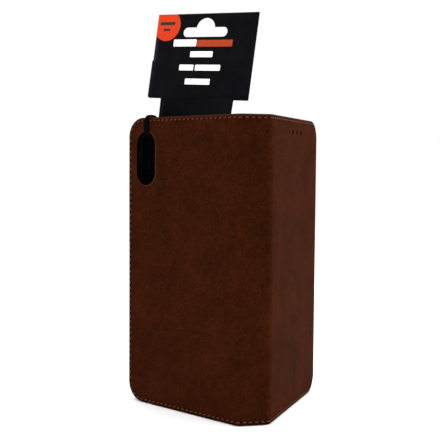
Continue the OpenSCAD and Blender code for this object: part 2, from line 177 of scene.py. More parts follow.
class Plan:
    """A flat outline: straight at u = cut, round at u = free, from z = low to z = high."""

    def __init__(self, cut, free, low, high, radius):
        self.cut, self.free, self.low, self.high, self.radius = cut, free, low, high, radius
        self.sign = 1 if free > cut else -1
        self.run = abs(free - cut) - radius
        self.rise = high - low - 2 * radius
        self.arc = (radius - BASE) * math.pi / 2
        self.length = 2 * self.run + 2 * self.arc + self.rise

    def on_ring(self, s, inset):
        """The point (u, z) at length s and its outward direction, on the ring at inset."""
        bend = self.free - self.sign * self.radius
        r = self.radius - inset
        if s <= self.run:
            return (self.cut + self.sign * s, self.low + inset), (0, -1)
        s -= self.run
        if s <= self.arc:
            a = s / self.arc * math.pi / 2
            way = (self.sign * math.sin(a), -math.cos(a))
            return (bend + r * way[0], self.low + self.radius + r * way[1]), way
        s -= self.arc
        if s <= self.rise:
            return (self.free - self.sign * inset, self.low + self.radius + s), (self.sign, 0)
        s -= self.rise
        if s <= self.arc:
            a = s / self.arc * math.pi / 2
            way = (self.sign * math.cos(a), math.sin(a))
            return (bend + r * way[0], self.high - self.radius + r * way[1]), way
        s -= self.arc
        return (bend - self.sign * s, self.high - inset), (0, 1)

    def locate(self, u, z):
        """How far (u, z) is inside the outline, and its length along the base ring."""
        side = (self.free - u) * self.sign
        foot, head = z - self.low, self.high - z
        if side < self.radius and foot < self.radius:
            a = math.atan2(self.radius - side, self.radius - foot)
            inset = self.radius - math.hypot(self.radius - side, self.radius - foot)
            return inset, self.run + a / (math.pi / 2) * self.arc
        if side < self.radius and head < self.radius:
            a = math.atan2(self.radius - head, self.radius - side)
            inset = self.radius - math.hypot(self.radius - side, self.radius - head)
            return inset, self.run + self.arc + self.rise + a / (math.pi / 2) * self.arc
        if side <= min(foot, head):
            return side, self.run + self.arc + (foot - self.radius)
        across = self.run + self.radius - side
        return (foot, across) if foot < head else (head, self.length - across)

    def ring(self, inset, count):
        """count + 1 points along the ring at inset."""
        return [self.on_ring(self.length * k / count, inset)[0] for k in range(count + 1)]


CASE_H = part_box("spine_skin")[1].z / MM
COVER_W = FOLD_A.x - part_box("back_skin")[0].x / MM
CORNER_R = 10
HALF_SPINE = SPINE_W / 2
back_plan = Plan(HALF_SPINE, -COVER_W, 0, CASE_H, CORNER_R)
front_plan = Plan(HALF_SPINE, SPINE_W + COVER_W, 0, CASE_H, CORNER_R)
print(f"covers: {COVER_W:.1f} x {CASE_H:.1f} mm, seam {back_plan.length:.0f} mm round each half")

# %% [markdown]
# ## Filling an outline
# The flat face between the rings is filled with a constrained triangulation: ring points,
# hole outlines and a plain grid go in, and it joins them without leaving a gap. That gives
# fine points where the seam and the folds need them, and few elsewhere.


# %% Triangulating a flat face
def pill(u, z, width, height, count=40):
    """An upright slot outline with round ends."""
    half, r = (height - width) / 2, width / 2
    turns = [2 * math.pi * k / count for k in range(count)]
    return [(u + r * math.cos(a), z + r * math.sin(a) + math.copysign(half, math.sin(a)))
            for a in turns]


def inside(loop, p):
    """Whether p lies inside a closed loop."""
    hit = False
    for (x0, y0), (x1, y1) in zip(loop, loop[1:] + loop[:1]):
        if (y0 > p[1]) != (y1 > p[1]) and p[0] < (x1 - x0) * (p[1] - y0) / (y1 - y0) + x0:
            hit = not hit
    return hit


def near(loop, p, gap):
    return any((x - p[0]) ** 2 + (y - p[1]) ** 2 < gap * gap for x, y in loop)


def spread(low, high, step, fine=(), fine_step=0.7, reach=3.5):
    """Values from low to high, closer together near the places in fine."""
    values, v = [], low
    while v < high - 1e-6:
        values.append(v)
        v += fine_step if any(abs(v - f) < reach for f in fine) else step
    return values + [high]


def fill(plan, rings, holes, step, fine=()):
    """Triangles over the area inside the first ring, as (points, faces)."""
    points, edges = [], []

    def chain(loop, closed=False):
        start = len(points)
        points.extend(Vector(p) for p in loop)
        edges.extend((start + k, start + k + 1) for k in range(len(loop) - 1))
        if closed:
            edges.append((start + len(loop) - 1, start))

    for ring in rings:
        chain(ring)
    first = plan.locate(*rings[0][len(rings[0]) // 2])[0]
    last = plan.locate(*rings[-1][len(rings[-1]) // 2])[0]
    heights = spread(plan.low, plan.high, step)
    ends = {round(r[k][1], 6) for r in rings for k in (0, -1)}
    inner = [z for z in heights if plan.low + last + 0.5 < z < plan.high - last - 0.5]
    chain([(plan.cut, z) for z in sorted(ends | set(inner))])
    for hole in holes:
        chain(hole, closed=True)
    across = spread(min(plan.cut, plan.free), max(plan.cut, plan.free), step, fine)
    for u in across:
        for z in heights:
            if abs(u - plan.cut) < 0.3 or plan.locate(u, z)[0] < last + 0.4:
                continue
            if not any(inside(h, (u, z)) or near(h, (u, z), 0.6) for h in holes):
                points.append(Vector((u, z)))
    verts, _, faces, *_ = delaunay_2d_cdt(points, edges, [], 1, 1e-5)
    kept = []
    for f in faces:
        mid = sum((verts[i] for i in f), Vector((0, 0))) / len(f)
        if plan.locate(*mid)[0] < first - 1e-3 or any(inside(h, mid) for h in holes):
            continue
        kept.append(tuple(f))
    return [tuple(v) for v in verts], kept


# %% [markdown]
# ## One layer of leather
# A layer has a face with all the detail, a hem that rolls round its edge, and a plain back.
# The hem is a list of (inset, n) steps, and each step is a ring. The whole layer is welded
# while it is still flat, and is only then wrapped round its folds. Three values are stored
# on its points for the materials: the flat place, so that grain stays put when the case
# opens, the distance from the edge, and how deep a point lies in a stitch hole.


# %% Building and wrapping a layer
SHARP = math.radians(50)


def new_object(name, bm, smooth=True):
    mesh = bpy.data.meshes.new(name)
    bm.to_mesh(mesh)
    bm.free()
    for p in mesh.polygons:
        p.use_smooth = smooth
    piece = bpy.data.objects.new(name, mesh)
    bpy.context.scene.collection.objects.link(piece)
    return piece


def weld(bm, gap=1e-3):
    bmesh.ops.remove_doubles(bm, verts=bm.verts, dist=gap)
    bmesh.ops.dissolve_degenerate(bm, edges=bm.edges, dist=1e-4)


def join_rings(bm, low, high):
    """Quads between two closed rings of points."""
    for k in range(len(low)):
        j = (k + 1) % len(low)
        bm.faces.new((low[k], low[j], high[j], high[k]))


def finish_layer(name, bm, plan, place, pit):
    """Caps what is open, stores the material values, wraps the mesh and makes the object."""
    weld(bm)
    rim = [e for e in bm.edges if e.is_boundary]
    if rim:
        caps = bmesh.ops.holes_fill(bm, edges=rim, sides=0)["faces"]
        bmesh.ops.triangulate(bm, faces=caps)
    bmesh.ops.recalc_face_normals(bm, faces=bm.faces)
    for e in bm.edges:
        if e.calc_face_angle(0.0) > SHARP:
            e.smooth = False
    flat = bm.verts.layers.float_vector.new("flat")
    inset = bm.verts.layers.float.new("inset")
    hole = bm.verts.layers.float.new("hole")
    for v in bm.verts:
        u, n, z = v.co
        v[flat] = (u, n, z)
        v[inset] = plan.locate(u, z)[0]
        # how deep the point lies in a stitch pit, which the leather darkens as painted shade
        v[hole] = pit(u, z) if pit else 0.0
        v.co = place(u, n, z)
    return new_object(name, bm)


def layer(name, plan, place, hem, detail, face_n, step=3.0, holes=(), fine=(), pit=None,
          ring_step=0.6):
    """A closed layer: detailed face, hem and plain back."""
    bm = bmesh.new()
    count = max(24, round(plan.length / ring_step))

    def add(points, faces):
        made = [bm.verts.new(p) for p in points]
        for f in faces:
            bm.faces.new([made[i] for i in f])

    rings = [plan.ring(d, count) for d in (hem[0][0], *detail)]
    flat, faces = fill(plan, rings, holes, step, fine)
    add([(u, face_n(u, z), z) for u, z in flat], faces)
    back_n = hem[-1][1]
    flat, faces = fill(plan, [plan.ring(hem[-1][0], count)], holes, 2 * step, fine)
    add([(u, back_n, z) for u, z in flat], faces)
    steps = [[(u, n, z) for u, z in plan.ring(d, count)] for d, n in hem]
    steps[0] = [(u, face_n(u, z), z) for u, _, z in steps[0]]
    for low, high in zip(steps, steps[1:]):
        size = len(low)
        quads = [(k, k + 1, size + k + 1, size + k) for k in range(size - 1)]
        add(low + high, quads)
    for loop in holes:
        size = len(loop)
        wall = [(u, face_n(u, z), z) for u, z in loop] + [(u, back_n, z) for u, z in loop]
        add(wall, [(k, (k + 1) % size, size + (k + 1) % size, size + k) for k in range(size)])
    return finish_layer(name, bm, plan, place, pit)


# %% [markdown]
# ## Materials
# Each material starts from the real one. A helper turns a hex colour to linear light, and
# one function adds a node with its settings and links. Pattern scales are per millimetre,
# because the leather's stored flat place is in millimetres.


# %% Material helpers
def linear(hex_code):
    """An sRGB hex colour as linear RGBA."""
    parts = [int(hex_code[k:k + 2], 16) / 255 for k in (0, 2, 4)]
    return (*(c / 12.92 if c <= 0.04045 else ((c + 0.055) / 1.055) ** 2.4 for c in parts), 1.0)


def wire(material, node, links):
    """Sets a node's sockets: each gets its value, or a link from another node's output."""
    for key, value in links.items():
        socket = node.inputs[int(key[1:]) if key[1:].isdigit() else key.replace("_", " ")]
        if isinstance(value, bpy.types.NodeSocket):
            material.node_tree.links.new(value, socket)
        else:
            socket.default_value = value


def add_node(material, kind, out=0, settings=None, stops=(), **links):
    """Adds a shader node with its settings, colour stops and links, and returns its output."""
    node = material.node_tree.nodes.new("ShaderNode" + kind)
    for key, value in (settings or {}).items():
        setattr(node, key, value)
    for k, (place, colour) in enumerate(stops):
        band = node.color_ramp.elements
        stop = band[k] if k < len(band) else band.new(place)
        stop.position, stop.color = place, linear(colour)
    wire(material, node, links)
    return node.outputs[out]


def new_material(name, **values):
    """A Principled material with its constant values set, ready for patterns."""
    material = bpy.data.materials.new(name)
    material.use_nodes = True
    shader = material.node_tree.nodes["Principled BSDF"]
    wire(material, shader, values)
    return material, shader


print("leather brown in linear light:", [round(c, 4) for c in linear("361809")[:3]])

# %% [markdown]
# ## Suede-touch leather
# The cover is polyurethane leather with a brushed, almost suede top coat, made on a woven
# backing and finished with a matt spray. The eye gets a dark warm brown that clouds from
# spot to spot, a short nap with very little shine, and fine pebble grain. Every turned edge
# but the top one is painted dark as shade, where the edge rolls away from the light; the
# top edge, which faces the light from above, gets a paler brown. The stitch pits are
# painted dark as shade too.


# %% Leather material
def leather(name, dark, light, edge, cloudy=0.6):
    """Brushed polyurethane leather with clouding and grain, and painted shade on its edges."""
    material, shader = new_material(name, Specular_IOR_Level=0.005,
                                    Specular_Tint=linear("d8a478"))
    flat = add_node(material, "Attribute", "Vector", {"attribute_name": "flat"})
    inset = add_node(material, "Attribute", "Fac", {"attribute_name": "inset"})
    hole = add_node(material, "Attribute", "Fac", {"attribute_name": "hole"})
    # clouds about 20 mm across, with blotches of 3 mm in them
    clouds = add_node(material, "TexNoise", Vector=flat, Scale=0.05, Detail=5.0, Roughness=0.62,
                      Distortion=0.4)
    blotch = add_node(material, "TexNoise", Vector=flat, Scale=0.32, Detail=4.0, Roughness=0.7)
    shade = add_node(material, "Mix", i0=cloudy, i2=blotch, i3=clouds)
    colour = add_node(material, "ValToRGB", stops=[(0.38, dark), (0.62, light)], Fac=shade)
    # the nap lies in strokes under a millimetre long
    nap = add_node(material, "TexNoise", Vector=flat, Scale=1.5, Detail=3.0, Roughness=0.75)
    stroke = add_node(material, "ValToRGB", stops=[(0.3, "606060"), (0.7, "a0a0a0")], Fac=nap)
    colour = add_node(material, "Mix", 2, {"data_type": "RGBA", "blend_type": "OVERLAY"},
                      i0=0.9, i6=colour, i7=stroke)
    # every turned edge is painted dark over its outermost millimetre, as shade on an edge that
    # rolls away from the light; the top edge, which faces the light from above, gets a paler brown
    height = add_node(material, "SeparateXYZ", 2, Vector=flat)
    near_top = add_node(material, "MapRange", Value=height, i1=CASE_H - 2.6, i2=CASE_H - 1.6)
    edge_shade_colour = add_node(material, "Mix", 2, {"data_type": "RGBA"}, i0=near_top,
                           i6=linear("100502"), i7=linear(edge))
    edge_shade_mask = add_node(material, "MapRange", Value=inset, i1=0.5, i2=1.3, i3=0.85, i4=0.0)
    colour = add_node(material, "Mix", 2, {"data_type": "RGBA"}, i0=edge_shade_mask, i6=colour,
                      i7=edge_shade_colour)
    # painted shade: stitch pits and the rim's inner wall are darkened to near black
    colour = add_node(material, "Mix", 2, {"data_type": "RGBA"}, i0=hole, i6=colour,
                      i7=linear("0c0402"))
    rough = add_node(material, "MapRange", Value=blotch, i1=0.3, i2=0.7, i3=0.62, i4=0.82)
    # pebbles about 0.5 mm across, with fibres of 0.1 mm over them
    pebble = add_node(material, "TexVoronoi", "Distance", {"feature": "SMOOTH_F1"}, Vector=flat,
                      Scale=1.9, Smoothness=0.6)
    fibre = add_node(material, "TexNoise", Vector=flat, Scale=9.0, Detail=2.0, Roughness=0.7)
    grain = add_node(material, "Math", 0, {"operation": "MULTIPLY_ADD"}, i0=fibre, i1=0.5,
                     i2=pebble)
    relief = add_node(material, "Bump", Strength=0.45, Distance=0.15 * MM, Height=grain)
    wire(material, shader, {"Base_Color": colour, "Roughness": rough, "Normal": relief})
    return material


brown_leather = leather("brushed_pu_leather", "361809", "49200f", "3c1e11")
# the rim's leather is a lighter copy of the cover's, a painted highlight along its raised crest
lit_rim_leather = leather("rim_leather_painted_highlight", "4a2a1a", "5e3a2a", "4c2818")
suede_lining = leather("microfibre_lining", "3d2012", "4e2b1a", "4a2818", cloudy=0.3)
print("leathers:", brown_leather.name, lit_rim_leather.name, suede_lining.name)

# %% [markdown]
# ## The outer skin
# On the real case one piece of leather is glued over the three boards and turned in at the
# edges. It has to bend at both folds, and a blended piece can cross one joint only, so the
# skin is cut at the middle of the spine, which is stiff. Along the seam the thread pulls a
# shallow channel, with a small pit at each stitch hole, and the leather swells a little
# beside it. Broad, faint waves keep the flat panels from looking machined.

# %% Outer skin, in two halves
PITCH = 3.0
OUT, IN = -1.0, 1.0
SKIN_T = 0.8
BOARD_IN = 0.5
CHANNEL_DEPTH, CHANNEL_WIDTH = 0.16, 0.42
SWELL, SWELL_AT, SWELL_WIDTH = 0.07, 3.6, 1.3
PIT_DEPTH, PIT_WIDTH = 0.18, 0.5
SEAM_RINGS = (1.15, 1.4, 1.6, 1.75, 1.9, 2.1, 2.4, 3.0, 4.2)


def stitch_count(plan):
    return round(plan.length / PITCH)


def seam_pit(plan):
    """How deep a flat point lies in a stitch hole of the plan's seam, from 0 to 1."""
    pitch = plan.length / stitch_count(plan)

    def pit(u, z):
        inset, s = plan.locate(u, z)
        off = (s + pitch / 2) % pitch - pitch / 2
        return math.exp(-(off / PIT_WIDTH) ** 2 - ((inset - BASE) / PIT_WIDTH) ** 2)

    return pit


def waves(u, z, size=0.05):
    """Faint unevenness of a hand-glued panel, in millimetres."""
    return size * (noise.noise(Vector((u, z, 3)) / 22) + 0.5 * noise.noise(Vector((u, z, 9)) / 8))


def seamed_face(plan, level, inward):
    """A face at level, pulled inward along its seam and swollen beside it."""
    pit = seam_pit(plan)

    def face_n(u, z):
        inset = plan.locate(u, z)[0]
        channel = CHANNEL_DEPTH * math.exp(-((inset - BASE) / CHANNEL_WIDTH) ** 2)
        swell = SWELL * math.exp(-((inset - SWELL_AT) / SWELL_WIDTH) ** 2)
        return level + inward * (channel - swell + PIT_DEPTH * pit(u, z) + waves(u, z))

    return face_n


EDGE_SEGMENTS = 8
ROLL_R = 0.95
roll = [math.radians(-90 + 180 * k / EDGE_SEGMENTS) for k in range(EDGE_SEGMENTS + 1)]
skin_hem = [(ROLL_R - ROLL_R * math.cos(a), IN * math.sin(a)) for a in roll]
skin_hem += [(1.0, BOARD_IN), (1.05, OUT + SKIN_T)]
CAMERA_U = -COVER_W + 13.34
CAMERA_Z = CASE_H - 21.06
CAMERA_W, CAMERA_H, RIM_W, UNDER_RIM = 12.7, 26.6, 1.2, 0.3
skin_gap = 2 * (RIM_W - UNDER_RIM)
camera_hole = pill(CAMERA_U, CAMERA_Z, CAMERA_W + skin_gap, CAMERA_H + skin_gap, 64)
SLOT_U, SLOT_PITCH, SLOT_DROP = SPINE_W + 38.6, 6.8, 7.3
SLOT_W, SLOT_H = 2.0, 2.4
slots = [pill(SLOT_U + k * SLOT_PITCH, CASE_H - SLOT_DROP, SLOT_W, SLOT_H, 24)
         for k in (-1, 0, 1)]
FOLDS = (0, SPINE_W)


def plan_point(place, u):
    """A point on a wrapping line, at the foot of the case."""
    return tuple(place(u, 0, 0))


def bend_with(piece, place, a, b, fold, reach=3.0):
    """Bakes the piece's place into its mesh; a, b and the fold are not used."""
    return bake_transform(piece, a, b, start=plan_point(place, fold - reach),
                    end=plan_point(place, fold + reach))


def bend_case(piece, half):
    if half == "back":
        return bend_with(piece, on_case, "back_cover", "spine", 0)
    return bend_with(piece, on_case, "spine", "front_cover", SPINE_W)


HALVES = {"back": (back_plan, [camera_hole]), "front": (front_plan, slots)}


def dress(piece, material):
    piece.data.materials.clear()
    piece.data.materials.append(material)
    return piece


for half, (plan, holes) in HALVES.items():
    skin = layer(f"{half}_leather", plan, on_case, skin_hem, SEAM_RINGS,
                 seamed_face(plan, OUT, 1), holes=holes, fine=FOLDS, pit=seam_pit(plan))
    bend_case(skin, half)
    dress(skin, brown_leather)
    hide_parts(f"{half}_skin", *(["spine_skin"] if half == "back" else []))
    print(skin.name, len(skin.data.vertices), "points")

# %% [markdown]
# ## The lining
# Inside, a thinner microfibre sheet covers the boards and the turned margin. It stops about
# a millimetre short of the edge, and the same seam goes through it.

# %% Lining, in two halves
lining_hem = [(1.25, IN), (1.08, IN - 0.06), (1.0, IN - 0.25), (1.0, BOARD_IN + 0.02)]
LINING_RINGS = (1.5, 1.75, 2.0, 2.4, 3.2)
lining_camera = pill(CAMERA_U, CAMERA_Z, CAMERA_W + 2 * RIM_W, CAMERA_H + 2 * RIM_W, 64)
for half, (plan, holes) in HALVES.items():
    cut_outs = [lining_camera] if half == "back" else holes
    sheet = layer(f"{half}_inner_lining", plan, on_case, lining_hem, LINING_RINGS,
                  seamed_face(plan, IN, -1), step=4.0, holes=cut_outs, fine=FOLDS,
                  pit=seam_pit(plan))
    bend_case(sheet, half)
    dress(sheet, suede_lining)
    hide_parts(f"{half}_lining", *(["spine_lining"] if half == "back" else []))
    print(sheet.name, len(sheet.data.vertices), "points")

# %% [markdown]
# ## Stitches
# The seam is a lockstitch in thick bonded polyester, three millimetres a stitch. Each stitch
# is its own short piece of thread: it comes up out of one hole, lies over the leather with
# a slight slant, and goes down the next. The thread is a plied cord, so its surface has a
# fine spiral.


# %% Thread material
tan_thread, thread_shader = new_material(
    "bonded_polyester_thread", Roughness=0.6, Sheen_Weight=0.1, Sheen_Roughness=0.4,
    Specular_IOR_Level=0.02)
along_thread = add_node(tan_thread, "Attribute", "Vector", {"attribute_name": "flat"})
# the plies are about 0.3 mm apart and wind across the stitch
ply = add_node(tan_thread, "TexWave", "Fac", {"bands_direction": "DIAGONAL"},
               Vector=along_thread, Scale=1.1, Distortion=1.2, Detail=1.0)
worn = add_node(tan_thread, "TexNoise", Vector=along_thread, Scale=0.5)
thread_shade = add_node(tan_thread, "Mix", i0=0.55, i2=ply, i3=worn)
wire(tan_thread, thread_shader, {
    "Base_Color": add_node(tan_thread, "ValToRGB", stops=[(0.25, "3e1e0f"), (0.75, "683c24")],
                           Fac=thread_shade),
    "Normal": add_node(tan_thread, "Bump", Strength=0.5, Distance=0.1 * MM, Height=ply)})
print("thread:", tan_thread.name)


# %% Making a row of stitches
def tube(bm, layer_flat, centres, sideways, radius, flatten, place):
    """A thread through centres (u, n, z), with its ends closed."""
    sides, rings = 8, []
    for (u, n, z), (su, sz), r in zip(centres, sideways, radius):
        ring = []
        for k in range(sides):
            a = 2 * math.pi * k / sides
            p = (u + r * math.cos(a) * su, n + r * flatten * math.sin(a), z + r * math.cos(a) * sz)
            v = bm.verts.new(place(*p))
            v[layer_flat] = p
            ring.append(v)
        rings.append(ring)
    for a, b in zip(rings, rings[1:]):
        join_rings(bm, a, b)
    bm.faces.new(list(reversed(rings[0])))
    bm.faces.new(rings[-1])


THREAD_R, THREAD_FLATNESS = 0.3, 0.8
STITCH_SHARE = 0.62
SLANT = 0.09
ARCH, BURIED = 0.4, 0.34


def stitch_rows(name, rows):
    """One mesh of stitches. Each row is (plan, level, outward, first, last, place)."""
    bm = bmesh.new()
    flat = bm.verts.layers.float_vector.new("flat")
    for plan, level, outward, first, last, place in rows:
        pitch = plan.length / stitch_count(plan)
        for k in range(stitch_count(plan)):
            start = (k + (1 - STITCH_SHARE) / 2) * pitch
            if not first <= start <= last - pitch * STITCH_SHARE:
                continue
            lean = SLANT * (1 + 0.5 * noise.noise(Vector((k * 1.7, level, 5))))
            centres, sideways, radius = [], [], []
            for j in range(7):
                t = j / 6
                (u, z), way = plan.on_ring(start + t * STITCH_SHARE * pitch, BASE)
                off = lean * (2 * t - 1)
                arch = math.sin(math.pi * t) ** 0.5 if 0 < t < 1 else 0
                n = level + outward * (ARCH * arch - BURIED)
                centres.append((u + off * way[0], n, z + off * way[1]))
                sideways.append(way)
                radius.append(THREAD_R * (0.7 + 0.3 * arch))
            tube(bm, flat, centres, sideways, radius, THREAD_FLATNESS, place)
    bmesh.ops.recalc_face_normals(bm, faces=bm.faces)
    piece = new_object(name, bm)
    return dress(piece, tan_thread)


for half, (plan, _) in HALVES.items():
    rows = [(plan, OUT, -1, 0, plan.length, on_case), (plan, IN, 1, 0, plan.length, on_case)]
    seam = stitch_rows(f"{half}_seam", rows)
    bend_case(seam, half)
    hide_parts(f"{half}_stitching", *(["spine_stitching"] if half == "back" else []))
    print(seam.name, stitch_count(plan) * 2, "stitches")

# %% [markdown]
# ## The rim round the camera opening
# The leather ends at the opening in a moulded rim, heat-pressed so that it stands proud and
# catches the light along its crest, where its lighter colour is a painted highlight. It is one
# profile swept round the slot's outline. The wall inside it is painted near black as shade,
# and so are the walls of the three punched speaker slots on the front.


# %% Camera rim
def sweep_round(name, outline, profile, place, plan):
    """A closed profile of (outward, n) steps swept round a slot outline."""
    bm = bmesh.new()
    rings = [outline(outward) for outward, _ in profile]
    verts = [[bm.verts.new((u, n, z)) for u, z in ring] for ring, (_, n) in zip(rings, profile)]
    for low, high in zip(verts, verts[1:] + verts[:1]):
        join_rings(bm, low, high)
    return finish_layer(name, bm, plan, place, None)


RIM_OUT = 0.4
crest = OUT - RIM_OUT
rim_profile = [(0.0, IN), (0.0, -0.9), (0.06, crest + 0.16), (0.25, crest + 0.03), (0.5, crest),
               (0.78, crest + 0.05), (1.0, crest + 0.2), (1.12, OUT - 0.02), (1.2, OUT + 0.12),
               (RIM_W, IN)]
rim = sweep_round(
    "camera_opening_rim",
    lambda out: pill(CAMERA_U, CAMERA_Z, CAMERA_W + 2 * out, CAMERA_H + 2 * out, 96),
    rim_profile, on_case, back_plan)
# painted shade: the wall inside the opening is marked to be darkened to near black
for depth, spot in zip(rim.data.attributes["hole"].data, rim.data.attributes["flat"].data):
    u, n, z = spot.vector
    reach = math.hypot(u - CAMERA_U, max(0, abs(z - CAMERA_Z) - (CAMERA_H - CAMERA_W) / 2))
    depth.value = min(1.0, max(0.0, (CAMERA_W / 2 + 0.75 - reach) / 0.3))
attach(rim, "back_cover")
dress(rim, lit_rim_leather)
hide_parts("camera_rim")
print(rim.name, "stands", RIM_OUT, "mm proud")

# %% Speaker slot walls
# painted shade: the slot walls are near black, as the shade inside the deep punched slots
slot_wall_shade, slot_shade_shader = new_material("slot_wall_painted_shade", Specular_IOR_Level=0.005)
slot_spot = add_node(slot_wall_shade, "Attribute", "Vector", {"attribute_name": "flat"})
slot_grain = add_node(slot_wall_shade, "TexNoise", Vector=slot_spot, Scale=2.0, Detail=3.0)
wire(slot_wall_shade, slot_shade_shader, {
    "Base_Color": add_node(slot_wall_shade, "ValToRGB", stops=[(0.3, "040201"), (0.7, "080403")],
                           Fac=slot_grain),
    "Roughness": add_node(slot_wall_shade, "MapRange", Value=slot_grain, i3=0.6, i4=0.9),
    "Normal": add_node(slot_wall_shade, "Bump", Strength=0.3, Distance=0.05 * MM,
                       Height=slot_grain)})
wall_profile = [(-0.12, IN - 0.05), (-0.12, OUT + 0.1), (-0.06, OUT + 0.02), (0.02, OUT - 0.02),
                (0.1, OUT + 0.04), (0.1, IN - 0.05)]
for k in (-1, 0, 1):
    wall = sweep_round(
        f"speaker_slot_wall_{k + 2}",
        lambda out, k=k: pill(SLOT_U + k * SLOT_PITCH, CASE_H - SLOT_DROP, SLOT_W + 2 * out,
                              SLOT_H + 2 * out, 24),
        wall_profile, on_case, front_plan)
    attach(wall, "front_cover")
    dress(wall, slot_wall_shade)
print("speaker slots:", SLOT_W, "x", SLOT_H, "mm")

# %% [markdown]
# ## Pockets
# Inside the front cover a full-height cash pocket carries three card pockets, each stepped
# back from the one below. Each pocket is a turned-edge layer whose mouth lifts a little,
# as leather does once it has held cards, with a pressed line where the mouth is turned in,
# and a row of stitches along its closed sides.

# %% Pockets on the front cover
POCKET_T = 0.5
PLY_HEM = [(0.5, 1.0), (0.25, 0.93), (0.07, 0.7), (0.0, 0.4), (0.05, 0.0)]
MOUTH_LIFT, MOUTH_CREASE, MOUTH_FOLD = 0.2, 0.12, 2.6
CARD_EDGES, STEP_W = (18, 29, 40), 11
POCKET_RIGHT = 72.5
pockets = {"cash_pocket": (Plan(SPINE_W + 4, SPINE_W + POCKET_RIGHT, 3, 112, 6), IN)}
for k, edge in enumerate(CARD_EDGES):
    pockets[f"card_pocket_{k + 1}"] = (
        Plan(SPINE_W + edge, SPINE_W + POCKET_RIGHT - 0.15 * k, 16 + 0.15 * k, 108 - 0.15 * k, 3.2),
        IN + POCKET_T * (k + 1) - POCKET_T)


def pocket_face(plan, level):
    def face_n(u, z):
        inset = plan.locate(u, z)[0]
        seam = 0.1 * math.exp(-((inset - BASE) / 0.5) ** 2)
        mouth = abs(u - plan.cut)
        lift = MOUTH_LIFT * math.exp(-(mouth / 2.5) ** 2) * min(1, inset / 12)
        crease = MOUTH_CREASE * math.exp(-((mouth - MOUTH_FOLD) / 0.35) ** 2)
        rounding = 0.12 * max(0, 1 - mouth / 0.5) ** 2
        return level + POCKET_T - 0.02 - seam - crease + 0.5 * waves(u, z) + lift - rounding

    return face_n


pocket_rows = []
for name, (plan, level) in pockets.items():
    hem = [(d, level + share * POCKET_T) for d, share in PLY_HEM]
    pocket = layer(f"{name}_leather", plan, on_case, hem, (0.9, 1.4, 1.75, 2.1, 2.8),
                   pocket_face(plan, level), step=4.0, ring_step=1.0, fine=(plan.cut,))
    # the mouth counts as an edge, so the leather's painted edge shade runs along it too
    for spot, edge in zip(pocket.data.attributes["flat"].data,
                          pocket.data.attributes["inset"].data):
        edge.value = min(edge.value, 0.62 + abs(spot.vector.x - plan.cut))
    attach(pocket, "front_cover")
    dress(pocket, suede_lining)
    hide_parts(name)
    if name == "cash_pocket":
        continue
    # the top pocket is sewn all round, and the others only over the step that they show
    last = name == f"card_pocket_{len(CARD_EDGES)}"
    spans = [(0, plan.length)] if last else [(0, STEP_W), (plan.length - STEP_W, plan.length)]
    pocket_rows += [(plan, level + POCKET_T - 0.1, 1, *span, on_case) for span in spans]
pocket_seam = stitch_rows("pocket_seam", pocket_rows)
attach(pocket_seam, "front_cover")
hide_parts("pocket_stitching")
print("pockets:", ", ".join(pockets))

# %% [markdown]
# ## The closing tab
# A strap of the same leather leaves the front cover's free edge between skin and lining. It
# bends over the case's thickness and holds by a magnet in its end. The strap crosses two
# joints, so it is cut in two at the middle of its bridge, as the skin is on the spine.

# %% Closing tab
TAB_H = (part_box("bridge_skin")[1].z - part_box("bridge_skin")[0].z) / MM
TAB_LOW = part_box("bridge_skin")[0].z / MM
TAB_HALF_T = 0.8
TIP_LEN = 23
TAB_ROOT = -4.0
SQUARE_R = 2.3
tab_mid = BRIDGE_LEN / 2
root_plan = Plan(tab_mid, TAB_ROOT, TAB_LOW, TAB_LOW + TAB_H, SQUARE_R)
tip_plan = Plan(tab_mid, BRIDGE_LEN + TIP_LEN, TAB_LOW, TAB_LOW + TAB_H, 8)
tab_hem = [(0.7 - 0.7 * math.cos(a), TAB_HALF_T * math.sin(a)) for a in roll]


def tab_layer(name, plan, body_a, body_b, fold):
    """One half of the strap with its stitches on both faces."""
    strap = layer(name, plan, on_tab, tab_hem, (1.0, 1.4, 1.6, 1.75, 1.9, 2.1),
                  seamed_face(plan, -TAB_HALF_T, 1), step=1.5, fine=(0, BRIDGE_LEN),
                  pit=seam_pit(plan), ring_step=0.4)
    bend_with(strap, on_tab, body_a, body_b, fold, reach=2.2)
    dress(strap, brown_leather)
    rows = [(plan, side * TAB_HALF_T, side, 0, plan.length, on_tab) for side in (-1, 1)]
    seam = stitch_rows(f"{name}_seam", rows)
    bend_with(seam, on_tab, body_a, body_b, fold, reach=2.2)
    return strap, seam


root, root_seam = tab_layer("tab_root", root_plan, "front_cover", "tab_bridge", 0)
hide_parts("bridge_skin", "bridge_lining")
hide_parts("bridge_stitching")
tip, tip_seam = tab_layer("tab_end", tip_plan, "tab_bridge", "tab_tip", BRIDGE_LEN)
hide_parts("tip_skin", "tip_lining")
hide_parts("tip_stitching")
print(f"tab: {TAB_H:.0f} mm high, {BRIDGE_LEN:.1f} mm over the edge")

# %% [markdown]
# ## Helpers for the back cover's own frame
# The tray, the hang card and the strap are hard or thin parts on the back cover. Their
# places are simplest as (x, n, z): x from the back fold, which is negative towards the free
# edge, n inwards from the cover's middle, and z up.

# %% Back cover frame


def on_back(p):
    """A point of the back cover's own frame, in the row frame."""
    return Vector((FOLD_A.x + p[0], FOLD_A.y + p[1], p[2])) * MM


# %% [markdown]
# ## The hang card
# The card is half a millimetre of black board, coated on its face. It is scored so that the
# head leans over the tray's edge, and its cut edges are slightly soft. The head is printed
# in white and orange. The print on the real card is lettering, so plain bars stand for it.

